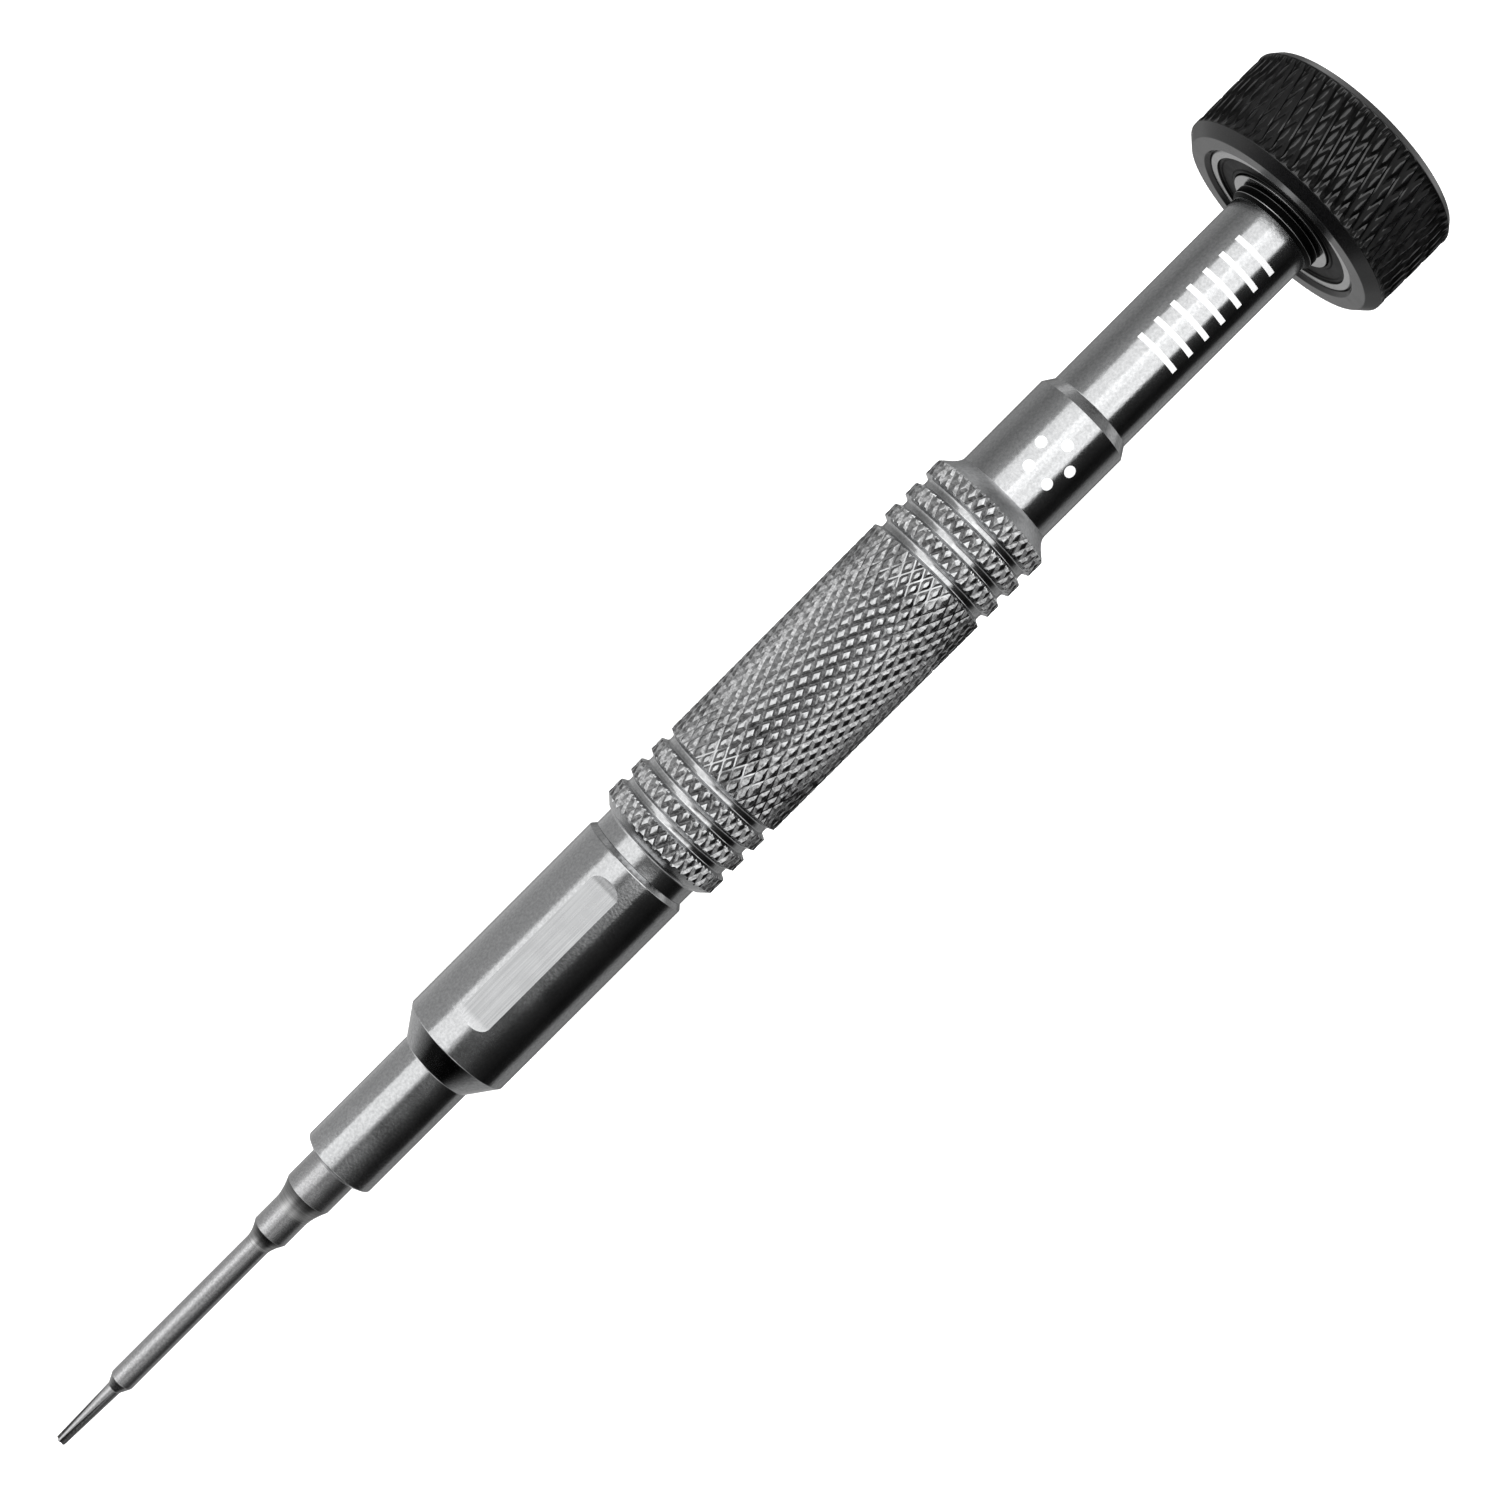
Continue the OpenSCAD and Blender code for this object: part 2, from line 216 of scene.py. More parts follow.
def turned(name, outline, angles_at, cut=None, closed=True, sharp=30):
    """A turned piece. cut(angles, z) is the greatest radius that a tool leaves there, if one cuts it.
    A closed outline goes round a bore; an open one starts and ends on the axis."""
    rings = outline if closed else outline[1:-1]
    plain = np.array([r for r, z in rings])[:, None]
    heights = np.array([z for r, z in rings])[:, None]
    angles = np.array([angles_at(z) for r, z in rings])
    radius = plain * np.ones_like(angles)
    levels = heights * np.ones_like(angles)
    if cut:
        radius = np.minimum(radius, cut(angles, levels))
    rows, columns = radius.shape
    points = np.stack((radius * np.cos(angles), radius * np.sin(angles), levels), -1)
    points = points.reshape(-1, 3).tolist()

    here = np.arange(rows)[:, None] * columns + np.arange(columns)[None, :]
    faces = []
    for i in range(rows if closed else rows - 1):
        up = (i + 1) % rows
        ra, rb = radius[i], np.roll(radius[i], -1)
        rd, rc = radius[up], np.roll(radius[up], -1)
        uneven = np.abs(ra + rc - rb - rd) > TWIST
        mid = (ra + rb + rc + rd) / 4
        if cut and uneven.any():
            next_angles = np.roll(angles[i], -1)
            next_angles[-1] += 2 * pi
            mid_angles = (angles[i] + next_angles) / 2
            mid_levels = np.full(columns, (heights[i, 0] + heights[up, 0]) / 2)
            mid = np.minimum((plain[i, 0] + plain[up, 0]) / 2, cut(mid_angles, mid_levels))
        # The diagonal that lies closer to the true surface is the one to split along
        along = np.abs((ra + rc) / 2 - mid) <= np.abs((rb + rd) / 2 - mid)
        faces += ring_faces(here[i], here[up], uneven, along)
    if not closed:
        foot, top = len(points), len(points) + 1
        points += [(0, 0, outline[0][1]), (0, 0, outline[-1][1])]
        for j in range(columns):
            after = (j + 1) % columns
            faces.append((foot, int(here[0, after]), int(here[0, j])))
            faces.append((top, int(here[-1, j]), int(here[-1, after])))
    return finish_mesh(name, points, faces, sharp)


def stands_for(piece, node, materials):
    """The piece moves with the CAD node's body, is shown in its place, and takes these materials."""
    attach(piece, frame["nodes"][node]["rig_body"])
    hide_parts(node)
    for material in materials:
        piece.data.materials.append(material)


# ---- Knurling ----


class Knurl:
    """Diamond knurling: two families of V grooves that leave flat-topped pyramids. The grooves fade out
    over run_out at the ends of a band, and the second family is shallower by the factor second.
    Mesh columns and rows are an eighth of its period, so that every groove lies on mesh diagonals."""

    CELLS = 8
    WALL_LEAN = 0.96  # cosine of the angle from the radius beyond which a face is a groove's wall

    def __init__(self, r, starts, period, depth, flat, run_out=0.0, second=1.0):
        self.r = r
        self.starts = starts
        self.period = period
        self.depth = depth
        self.flat = flat
        self.run_out = run_out
        self.second = second
        self.columns = starts * self.CELLS
        self.step = period / self.CELLS
        self.bands = []

    def band(self, z0, z1):
        """Adds a knurled band and returns the heights of its mesh rows."""
        rows = max(1, round((z1 - z0) / self.step))
        self.bands.append((z0, z1, (z1 - z0) / rows * self.CELLS))
        return np.linspace(z0, z1, rows + 1)

    def groove(self, turns):
        """How deep one family of grooves is at this many periods across them."""
        off_middle = 2 * np.abs(turns - np.floor(turns) - 0.5)
        return self.depth * np.clip((off_middle - self.flat) / (1 - self.flat), 0, 1)

    def cut(self, angles, z):
        """The radius that the knurling leaves."""
        starts = np.array([a for a, b, p in self.bands])
        ends = np.array([b for a, b, p in self.bands])
        periods = np.array([p for a, b, p in self.bands])
        nearest = np.abs(z[..., None] - (starts + ends) / 2).argmin(-1)
        along = (z - starts[nearest]) / periods[nearest]
        around = self.starts * angles / (2 * pi)
        depth = np.maximum(self.groove(around + along), self.second * self.groove(around - along))
        if self.run_out:
            inside = np.minimum(z - starts[nearest], ends[nearest] - z)
            depth = depth * np.clip(inside / self.run_out, 0, 1)
        return self.r - depth

    def walls(self, piece):
        """The faces of the piece that are walls of the grooves."""
        for face in piece.data.polygons:
            middle = face.center / MM
            r = Vector(middle.xy).length
            banded = any(a < middle.z < b for a, b, p in self.bands)
            leans = face.normal.xy.dot(middle.xy) < self.WALL_LEAN * r
            if banded and self.r - self.depth < r and leans:
                yield face


# ---- Blade ----

TIP_END_R = 0.41
TIP_ROOT_R = 0.55
TIP_LEN = 5.4
TIP_SHOULDER = 0.78
SHOULDER_Z = TIP_LEN + TIP_SHOULDER
THIN_R = 0.93
THIN_END = 19.75
THIN_SHOULDER = 1.3
MID_R = 1.42
MID_Z = THIN_END + THIN_SHOULDER
MID_LEN = 2.1
MID_END = MID_Z + MID_LEN
MID_SHOULDER = 1.7
SHANK_R = 1.9
SHANK_Z = MID_END + MID_SHOULDER
SHANK_CHAMFER = 0.3
FLUTES = 5
FIRST_FLUTE = -75
FLUTE_R = 0.2
FLUTE_DEPTH = 0.15
FLUTE_LEN = 2.7
FLUTE_ROWS = (0.16, 0.02, FLUTE_LEN + 0.3)  # the flutes' mesh rows: their length, start and end
FLUTE_SKIN = 0.012  # a face this far below the round tip is inside a flute
FLUTE_LEAN = 0.5  # a flute's walls point less than this part of their normal up or down


def tip_r(z):
    return TIP_END_R + (TIP_ROOT_R - TIP_END_R) * z / TIP_LEN


def flute_axis_r(z):
    """Distance from the tool's axis to the middle of a flute's round cutter, which leans outwards."""
    rise = FLUTE_DEPTH + tip_r(FLUTE_LEN) - TIP_END_R
    return TIP_END_R - FLUTE_DEPTH + FLUTE_R + rise * z / FLUTE_LEN


def flute_half_angle(z):
    """Half of the angle that a flute takes up at this height."""
    r, a = tip_r(z), flute_axis_r(z)
    share = (a * a + r * r - FLUTE_R * FLUTE_R) / (2 * a * r)
    return float(np.arccos(min(share, 1)))


def flute_cut(angles, z):
    """The radius that the flutes leave at the tip."""
    pitch = 2 * pi / FLUTES
    off = (angles - radians(FIRST_FLUTE) + pitch / 2) % pitch - pitch / 2
    a = flute_axis_r(z)
    inside = FLUTE_R**2 - (a * np.sin(off)) ** 2
    wall = a * np.cos(off) - np.sqrt(np.maximum(inside, 0))
    return np.where((inside > 0) & (z < TIP_LEN), wall, np.inf)


def make_blade():
    foot_z = high("blade")
    outline = [(0, 0), (TIP_END_R, 0), (TIP_ROOT_R, TIP_LEN), (THIN_R, SHOULDER_Z)]
    outline += swell(THIN_R, THIN_END, MID_R, MID_Z)
    outline += swell(MID_R, MID_END, SHANK_R, SHANK_Z)
    outline += [(SHANK_R, foot_z - SHANK_CHAMFER), (SHANK_R - SHANK_CHAMFER, foot_z), (0, foot_z)]
    outline = split(soften(outline), *FLUTE_ROWS)
    centres = [FIRST_FLUTE + i * 360 / FLUTES for i in range(FLUTES)]
    angles = grooved_angles(centres, flute_half_angle, inside=12, between=32)
    piece = turned("blade_fine", outline, angles, cut=flute_cut, closed=False)
    steels = [blade_steel(), flute_painted_shade()]
    steels.append(shoulder_steel_painted_shade("blade_shoulder_thin_painted_shade", THIN_END, MID_Z))
    steels.append(shoulder_steel_painted_shade("blade_shoulder_thick_painted_shade", MID_END, SHANK_Z))
    stands_for(piece, "blade", steels)
    for face in piece.data.polygons:
        middle = face.center / MM
        sunk = tip_r(middle.z) - Vector(middle.xy).length
        upright = abs(face.normal.z) < FLUTE_LEAN
        # Faces inside a flute take the near-black steel of painted shade
        if middle.z < FLUTE_LEN and sunk > FLUTE_SKIN and upright:
            face.material_index = 1
        # The shoulders take steel with painted shade that darkens towards their upper corners
        if THIN_END < middle.z < MID_Z:
            face.material_index = 2
        if MID_END < middle.z < SHANK_Z:
            face.material_index = 3


# ---- Barrel ----

NOSE_R = 2.88
NOSE_CHAMFER = 0.35
NOSE_CHAMFER_W = 0.6
NOSE_LEN = 9.95
CONE_LEN = 2.05
BARREL_CHAMFER = 0.4
BARREL_CHAMFER_W = 0.34
BLADE_BORE_R = 1.92
SCREW_BORE_R = 2.02
SCREW_ROOM = 5.4
STUD_BORE_R = 2.52
FLAT_TURN = -5.5
FLAT_LEN = 13.6
FLAT_W = 2.4
FLAT_RISE = 0.3  # how far the flat's middle is above the middle of the barrel's widest part
FLAT_TOOL_R = 2
FLAT_REACH = 0.5  # the flat is only looked for where the cosine of the angle from it is above this
FLAT_ROW = 0.06  # length of the mesh rows at the flat's ends
BORE_WALL = 0.5  # faces farther than this from the bores are on the outside


class Flat:
    """The flat milled into the side of the barrel by a round cutter that runs along it."""

    def __init__(self, r, mid_z):
        self.r = r
        self.mid_z = mid_z
        self.face_r = sqrt(r**2 - (FLAT_W / 2) ** 2)
        depth = r - self.face_r
        run_out = sqrt(FLAT_TOOL_R**2 - (FLAT_TOOL_R - depth) ** 2)
        self.floor = FLAT_LEN / 2 - run_out
        self.centre = FRONT + FLAT_TURN

    def floor_r(self, z):
        """Distance from the axis to the flat's floor, which curves out of the steel at both ends."""
        beyond = np.clip(np.abs(z - self.mid_z) - self.floor, 0, FLAT_TOOL_R)
        return self.face_r + FLAT_TOOL_R - np.sqrt(FLAT_TOOL_R**2 - beyond**2)

    def half_angle(self, z):
        return float(np.arccos(min(self.floor_r(z) / self.r, 1)))

    def cut(self, angles, z):
        off = np.cos(angles - radians(self.centre))
        return np.where(off > FLAT_REACH, self.floor_r(z) / np.maximum(off, FLAT_REACH), np.inf)


def make_barrel():
    nose_z, end = low("barrel"), high("barrel")
    r = outer_r("barrel")
    nose_end = nose_z + NOSE_LEN
    body_z = nose_end + CONE_LEN
    flat = Flat(r, body_z + (end - body_z) / 2 + FLAT_RISE)
    flat_end = FLAT_LEN / 2
    blade_end = high("blade")
    outline = [
        (BLADE_BORE_R, nose_z),
        (NOSE_R - NOSE_CHAMFER_W, nose_z),
        (NOSE_R, nose_z + NOSE_CHAMFER),
        (NOSE_R, nose_end),
        (r, body_z),
        (r, flat.mid_z - flat_end),
        (r, flat.mid_z - flat.floor),
        (r, flat.mid_z + flat.floor),
        (r, flat.mid_z + flat_end),
        (r, end - BARREL_CHAMFER),
        (r - BARREL_CHAMFER_W, end),
        (STUD_BORE_R, end),
        (STUD_BORE_R, blade_end + SCREW_ROOM),
        (SCREW_BORE_R, blade_end + SCREW_ROOM),
        (SCREW_BORE_R, blade_end),
        (BLADE_BORE_R, blade_end),
    ]
    outline = soften(outline)
    outline = split(outline, FLAT_ROW, flat.mid_z - flat_end, flat.mid_z - flat.floor)
    outline = split(outline, FLAT_ROW, flat.mid_z + flat.floor, flat.mid_z + flat_end)
    angles = grooved_angles([flat.centre], flat.half_angle, inside=16, between=240)
    piece = turned("barrel_fine", outline, angles, cut=flat.cut, sharp=11.5)
    stands_for(piece, "barrel", [handle_metal("handle_barrel"), milled_metal()])
    for face in piece.data.polygons:
        middle = face.center / MM
        off = (degrees(atan2(middle.y, middle.x)) - flat.centre + 180) % 360 - 180
        outside = Vector(middle.xy).length > STUD_BORE_R + BORE_WALL
        in_reach = abs(middle.z - flat.mid_z) < flat_end
        if outside and in_reach and abs(radians(off)) < flat.half_angle(middle.z):
            face.material_index = 1


# ---- Grip ----

GRIP_R = 4.95
GROOVE_R = 4.5
RELIEF_R = 4
RELIEF_LEN = 2.05
MAIN_LEN = 19.6
RINGS = 3
RING_LEN = 1.02
END_RING_LEN = 1.2
GROOVE_LEN = 0.95
COLLAR_R = 3.8
COLLAR_CHAMFER = 0.8
STEM_R = 3.28
BAND_SIDE = 0.22
END_SLOPE = 0.62
END_SLOPE_R = 4.3
END_FLARE = 0.3
COLLAR_SLOPE = 1
COLLAR_SWEEP = 1.4  # where the curve into the collar ends, in lengths of the slope
FILLET = 0.16
FILLET_SHARE = 0.6  # how much of half a band's side the fillet takes
CORE_R = 2.5
GRIP_KNURL = Knurl(GRIP_R, starts=36, period=1.584, depth=0.18, flat=0.44)


def band_ends():
    """Start and end of every knurled band, from the barrel's end upwards."""
    z = high("barrel") + RELIEF_LEN
    lengths = [END_RING_LEN] + [RING_LEN] * (RINGS - 1)
    ends = []
    for length in lengths + [MAIN_LEN] + lengths[::-1]:
        ends.append((z, z + length))
        z += length + GROOVE_LEN
    return ends


def band_foot(z, up):
    """The foot of a band's sloping side: a small fillet from the groove's floor to the side's middle."""
    corner = np.array((GROOVE_R, z))
    half_side = np.array(((GRIP_R - GROOVE_R) / 2, up * BAND_SIDE / 2))
    fillet = bend(corner - (0, up * FILLET), corner, corner + half_side * FILLET_SHARE)
    return fillet + [corner + half_side]


def make_grip():
    z, top = low("grip"), high("grip")
    bore_r = CORE_R + FIT
    bands = band_ends()
    first, last = bands[0][0], bands[-1][1]
    outline = [(bore_r, z), (RELIEF_R, z)]
    outline += flare(RELIEF_R, first - END_SLOPE - END_FLARE, END_SLOPE_R, first - END_SLOPE)
    notch_r = GRIP_R - GRIP_KNURL.depth
    notch_share = GRIP_KNURL.depth / (GRIP_R - END_SLOPE_R)
    outline.append((notch_r, first - END_SLOPE * notch_share))
    for z0, z1 in bands:
        rows = GRIP_KNURL.band(z0, z1)
        if z0 > first:
            outline += band_foot(z0 - BAND_SIDE, 1)
        outline += [(GRIP_R, row) for row in rows]
        if z1 < last:
            outline += band_foot(z1 + BAND_SIDE, -1)[::-1]
    notch_share = GRIP_KNURL.depth / (GRIP_R - COLLAR_R)
    outline.append((notch_r, last + COLLAR_SLOPE * notch_share))
    half_way = ((GRIP_R + COLLAR_R) / 2, last + COLLAR_SLOPE / 2)
    slope_end = (COLLAR_R, last + COLLAR_SLOPE)
    sweep_end = (COLLAR_R, last + COLLAR_SWEEP * COLLAR_SLOPE)
    outline += bend(half_way, slope_end, sweep_end, count=12)
    outline += [(COLLAR_R, top - COLLAR_CHAMFER), (STEM_R, top), (bore_r, top)]
    piece = turned("grip_fine", outline, even_angles(GRIP_KNURL.columns), cut=GRIP_KNURL.cut, sharp=24)
    metals = [handle_metal("handle_grip"), knurled_metal_painted_shade(), satin_metal()]
    stands_for(piece, "grip", metals)
    # The grooves' walls take the rougher metal whose darker colour is painted shade
    for face in GRIP_KNURL.walls(piece):
        face.material_index = 1
    for face in piece.data.polygons:
        middle = face.center / MM
        if last < middle.z < top - COLLAR_CHAMFER and Vector(middle.xy).length > COLLAR_R + FIT:
            face.material_index = 2


# ---- Stem and spacer ring ----

STEM_CHAMFER = 0.4
SPIGOT_R = 2.98
SPIGOT_CHAMFER = 0.2
SCREW_HOLE_R = 1.52
SCREW_HOLE_DEPTH = 8.55
SCREW_CONE_H = 0.6


def make_stem():
    foot_z, top = low("neck_stem"), high("neck_stem")
    stem_z, stem_end = high("grip"), low("spacer_ring")
    outline = [
        (0, foot_z),
        (CORE_R - STEM_CHAMFER, foot_z),
        (CORE_R, foot_z + STEM_CHAMFER),
        (CORE_R, stem_z),
        (STEM_R, stem_z),
        (STEM_R, stem_end),
        (SPIGOT_R, stem_end),
        (SPIGOT_R, top - SPIGOT_CHAMFER),
        (SPIGOT_R - SPIGOT_CHAMFER, top),
        (SCREW_HOLE_R + SCREW_CONE_H, top),
        (SCREW_HOLE_R, top - SCREW_CONE_H),
        (SCREW_HOLE_R, top - SCREW_HOLE_DEPTH),
        (0, top - SCREW_HOLE_DEPTH),
    ]
    piece = turned("neck_stem_fine", soften(outline), even_angles(192), closed=False)
    stands_for(piece, "neck_stem", [handle_metal("handle_stem")])


BEARING_BORE_R = 3
RING_EDGE = 0.04
SPACER_CHAMFER = 0.2
WORN_LEAN = (0.15, 0.65)  # how far up or down the normals of the spacer's worn corners point


def ring_outline(node, r_in, r_out, chamfer):
    """Flat ring with chamfered outer corners, at the node's height."""
    z0, z1 = low(node), high(node)
    return [
        (r_in, z0),
        (r_out - chamfer, z0),
        (r_out, z0 + chamfer),
        (r_out, z1 - chamfer),
        (r_out - chamfer, z1),
        (r_in, z1),
    ]


def make_spacer():
    """A blackened ring whose corners are worn bright."""
    r = outer_r("spacer_ring")
    outline = ring_outline("spacer_ring", BEARING_BORE_R, r, SPACER_CHAMFER)
    piece = turned("spacer_ring_fine", soften(outline, RING_EDGE), even_angles(160))
    stands_for(piece, "spacer_ring", [shield_black(), bearing_metal("spacer_worn")])
    for face in piece.data.polygons:
        leans = WORN_LEAN[0] < abs(face.normal.z) < WORN_LEAN[1]
        if leans and Vector(face.center.xy).length / MM > r - SPACER_CHAMFER:
            face.material_index = 1


# ---- Marks: plain dots and bars in place of lettering ----

MARK_LIFT = 0.008
MARK_SINK = 0.02
MARK_TURN = 8
MARK_COLUMNS = 17
DOTS = 5
DOT_R = 0.42
DOT_RING_R = 1.5
DOT_REACH = 1.4  # radians from a dot's middle to its first and last columns
BARS = 7
BAR_LEN = 3.6
BAR_W = 0.42
BAR_PITCH = 1.5
BARS_BELOW = 2  # how many bars are below the stem's middle


def mark(name, r, angle, z, columns):
    """A thin etched patch that follows the round surface.
    Its columns are (place along the arc, half height)."""
    points = []
    for along, half in columns:
        a = radians(angle) + along / r
        for layer in (r + MARK_LIFT, r - MARK_SINK):
            points += [(layer * cos(a), layer * sin(a), z + t) for t in (-half, half)]
    end = len(points) - 4
    faces = [(0, 1, 3, 2), (end, end + 2, end + 3, end + 1)]
    for i in range(0, end, 4):
        faces += [(i, i + 4, i + 5, i + 1), (i + 2, i + 3, i + 7, i + 6)]
        faces += [(i, i + 2, i + 6, i + 4), (i + 1, i + 5, i + 7, i + 3)]
    piece = finish_mesh(name, points, faces, sharp=30)
    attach(piece, frame["nodes"]["grip"]["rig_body"])
    piece.data.materials.append(etched_fill_with_painted_glow())


def make_marks():
    """A ring of five dots on the collar for the five-lobed tip, and a row of bars on the stem."""
    collar_mid = (band_ends()[-1][1] + COLLAR_SLOPE + high("grip") - COLLAR_CHAMFER) / 2
    dot = [(DOT_R * sin(a), DOT_R * cos(a)) for a in np.linspace(-DOT_REACH, DOT_REACH, MARK_COLUMNS)]
    for i in range(DOTS):
        a = 2 * pi * i / DOTS
        turn = FRONT + MARK_TURN + degrees(DOT_RING_R * sin(a) / COLLAR_R)
        mark(f"collar_dot_{i + 1}", COLLAR_R, turn, collar_mid + DOT_RING_R * cos(a), dot)
    bar = [(along, BAR_W / 2) for along in np.linspace(-BAR_LEN / 2, BAR_LEN / 2, MARK_COLUMNS)]
    stem_mid = (high("grip") + low("spacer_ring")) / 2
    for i in range(BARS):
        bar_z = stem_mid + (i - BARS_BELOW) * BAR_PITCH
        mark(f"stem_bar_{i + 1}", STEM_R, FRONT + MARK_TURN, bar_z, bar)


# ---- Bearing ----

PITCH_R = 4.75
RACE_R = 1.03
INNER_LAND_R = 4.22
OUTER_LAND_R = 5.28
BEARING_CHAMFER = 0.15
BORE_CHAMFER = 0.15
SHIELD_SEAT_R = 5.8
SHIELD_SEAT_DEPTH = 0.4
SHIELD_BORE_R = 4.3
SHIELD_BEAD = 0.07
SHIELD_EDGE = 0.03
OUTER_BEAD = (0.22, 0.32)  # width of the bead at a shield's outer edge, at its top and its foot
INNER_BEAD = (0.2, 0.3)  # the same at its inner edge


def race(side, land_r, mid_z):
    """The ball race's arc, running up, in the land on the pitch circle's inner (-1) or outer (+1) side."""
    reach = np.arccos(abs(land_r - PITCH_R) / RACE_R)
    turns = np.linspace(-reach, reach, 2 * STEPS + 1)
    return [(PITCH_R + side * RACE_R * cos(a), mid_z + RACE_R * sin(a)) for a in turns]


def make_outer_ring():
    z0, z1 = low("bearing_outer_ring"), high("bearing_outer_ring")
    r = outer_r("bearing_outer_ring")
    outline = ring_outline("bearing_outer_ring", SHIELD_SEAT_R, r, BEARING_CHAMFER)
    outline += [(SHIELD_SEAT_R, z1 - SHIELD_SEAT_DEPTH), (OUTER_LAND_R, z1 - SHIELD_SEAT_DEPTH)]
    outline += race(1, OUTER_LAND_R, (z0 + z1) / 2)[::-1]
    outline += [(OUTER_LAND_R, z0 + SHIELD_SEAT_DEPTH), (SHIELD_SEAT_R, z0 + SHIELD_SEAT_DEPTH)]
    piece = turned("outer_ring_fine", soften(outline, RING_EDGE), even_angles(192))
    stands_for(piece, "bearing_outer_ring", [bearing_metal("bearing_outer")])


def make_inner_ring():
    z0, z1 = low("bearing_inner_ring"), high("bearing_inner_ring")
    outline = [
        (BEARING_BORE_R, z0 + BORE_CHAMFER),
        (BEARING_BORE_R + BORE_CHAMFER, z0),
        (INNER_LAND_R, z0),
        *race(-1, INNER_LAND_R, (z0 + z1) / 2),
        (INNER_LAND_R, z1),
        (BEARING_BORE_R + BORE_CHAMFER, z1),
        (BEARING_BORE_R, z1 - BORE_CHAMFER),
    ]
    piece = turned("inner_ring_fine", soften(outline, RING_EDGE), even_angles(192))
    stands_for(piece, "bearing_inner_ring", [bearing_metal("bearing_inner")])


def make_shield(node, outward):
    """A pressed shield with a bead round both edges. outward is +1 for the upper one, -1 for the lower."""
    z0, z1 = low(node), high(node)
    face, back = (z1, z0) if outward > 0 else (z0, z1)
    r_out = outer_r(node)
    sunk = face - outward * SHIELD_BEAD
    outline = [
        (SHIELD_BORE_R, back),
        (r_out, back),
        (r_out, face),
        (r_out - OUTER_BEAD[0], face),
        (r_out - OUTER_BEAD[1], sunk),
        (SHIELD_BORE_R + INNER_BEAD[1], sunk),
        (SHIELD_BORE_R + INNER_BEAD[0], face),
        (SHIELD_BORE_R, face),
    ]
    if outward < 0:
        outline = outline[::-1]
    piece = turned(f"{node}_fine", soften(outline, SHIELD_EDGE), even_angles(192))
    stands_for(piece, node, [shield_black()])


# ---- Cap ----

CAP_CHAMFER_H = 0.7
CAP_FACE_W = 1.45
CAP_MOUTH_CHAMFER = 0.25
CAP_POCKET_R = 5.6
CAP_POCKET_ROOM = 0.6
CAP_EDGE_H = 0.5
CAP_EDGE_W = 0.4
DISH_MARGIN = 1.1
DISH_SLOPE = 0.5
DISH_DEPTH = 0.3
KNURL_MARGIN = 0.4  # the knurling's fine mesh rows go on this far beyond its band


def make_cap():
    z, top = low("swivel_cap"), high("swivel_cap")
    r = outer_r("swivel_cap")
    bearing_r = outer_r("bearing_outer_ring")
    bore_r = bearing_r + FIT
    bearing_top = high("bearing_outer_ring")
    pocket_end = high("axle_screw") + CAP_POCKET_ROOM
    knurl = Knurl(r, starts=56, period=3.36, depth=0.26, flat=0.36, run_out=0.3, second=0.62)
    band_z, band_end = z + CAP_CHAMFER_H, top - CAP_EDGE_H
    knurl.band(band_z, band_end)
    outline = [
        (0, pocket_end),
        (CAP_POCKET_R, pocket_end),
        (CAP_POCKET_R, bearing_top),
        (bore_r, bearing_top),
        (bore_r, z + CAP_MOUTH_CHAMFER),
        (bore_r + CAP_MOUTH_CHAMFER, z),
        (bearing_r + CAP_FACE_W, z),
        (r, band_z),
        (r, band_end),
        (r - CAP_EDGE_W, top),
        (r - DISH_MARGIN, top),
        (r - DISH_MARGIN - DISH_SLOPE, top - DISH_DEPTH),
        (0, top - DISH_DEPTH),
    ]
    outline = split(soften(outline), knurl.step, band_z - KNURL_MARGIN, band_end + KNURL_MARGIN)
    angles = even_angles(knurl.columns)
    piece = turned("swivel_cap_fine", outline, angles, cut=knurl.cut, closed=False, sharp=24)
    stands_for(piece, "swivel_cap", [cap_metal(), cap_grooves_painted_shade()])
    # The grooves' walls take the rougher black with painted shade
    for face in knurl.walls(piece):
        face.material_index = 1


# ---- Materials ----

NOISE_SPREAD = (0.3, 0.7)  # the part of a noise's range that most of its values are in


def new_material(name, colour, metallic, roughness):
    """A material with one shader, and its tree and shader to build on."""
    material = bpy.data.materials.new(name)
    material.use_nodes = True
    tree = material.node_tree
    shader = tree.nodes["Principled BSDF"]
    shader.inputs["Base Color"].default_value = (*colour, 1)
    shader.inputs["Metallic"].default_value = metallic
    shader.inputs["Roughness"].default_value = roughness
    return material, tree, shader


def noise(tree, size, detail=3, stretch=(1, 1, 1)):
    """Noise with features of this size in millimetres, drawn out by these factors along X, Y and Z."""
    place = tree.nodes.new("ShaderNodeTexCoord")
    mapping = tree.nodes.new("ShaderNodeMapping")
    mapping.inputs["Scale"].default_value = [1 / (size * MM * s) for s in stretch]
    texture = tree.nodes.new("ShaderNodeTexNoise")
    texture.inputs["Scale"].default_value = 1
    texture.inputs["Detail"].default_value = detail
    tree.links.new(place.outputs["Object"], mapping.inputs["Vector"])
    tree.links.new(mapping.outputs["Vector"], texture.inputs["Vector"])
    return texture.outputs["Fac"]


def mapped(tree, value, from_low, from_high, to_low=0, to_high=1):
    """The value mapped from one range to another and held at its ends."""
    spread = tree.nodes.new("ShaderNodeMapRange")
    tree.links.new(value, spread.inputs["Value"])
    spread.inputs["From Min"].default_value = from_low
    spread.inputs["From Max"].default_value = from_high
    spread.inputs["To Min"].default_value = to_low
    spread.inputs["To Max"].default_value = to_high
    return spread.outputs["Result"]


def shaded(tree, value, dark, light):
    """A colour between two greys, by the value."""
    ramp = tree.nodes.new("ShaderNodeValToRGB")
    tree.links.new(value, ramp.inputs["Fac"])
    for element, position, colour in zip(ramp.color_ramp.elements, NOISE_SPREAD, (dark, light)):
        element.position = position
        element.color = (*colour, 1)
    return ramp.outputs["Color"]


